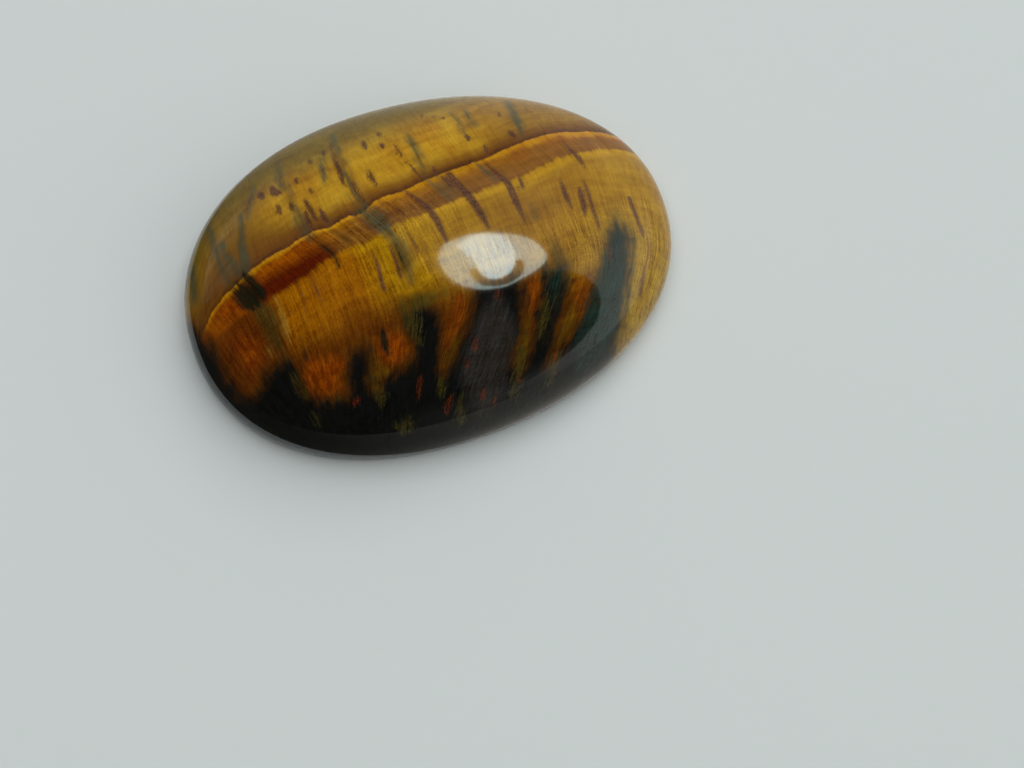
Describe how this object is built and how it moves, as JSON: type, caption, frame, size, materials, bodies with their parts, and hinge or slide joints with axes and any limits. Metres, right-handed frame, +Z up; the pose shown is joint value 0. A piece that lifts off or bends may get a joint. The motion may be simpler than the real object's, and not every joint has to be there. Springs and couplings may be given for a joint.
{
  "type": "tigers eye cabochon",
  "caption": "Polished oval tiger's eye cabochon with a high smooth dome, a narrow girdle, a ground bevel and a flat back to rest on or glue to a setting.",
  "frame": {"origin": "centre of the flat back, on the surface that the stone rests on", "axes": "+X along the oval's length towards its more pointed end, +Y across it towards the golden upper zone, +Z up through the top of the dome"},
  "size_m": [0.034, 0.024, 0.0082],
  "materials": {
    "polished_tigers_eye": "polished golden brown fibres with blue-black patches"
  },
  "bodies": {
    "root": {"stone": "polished_tigers_eye"}
  },
  "joints": []
}
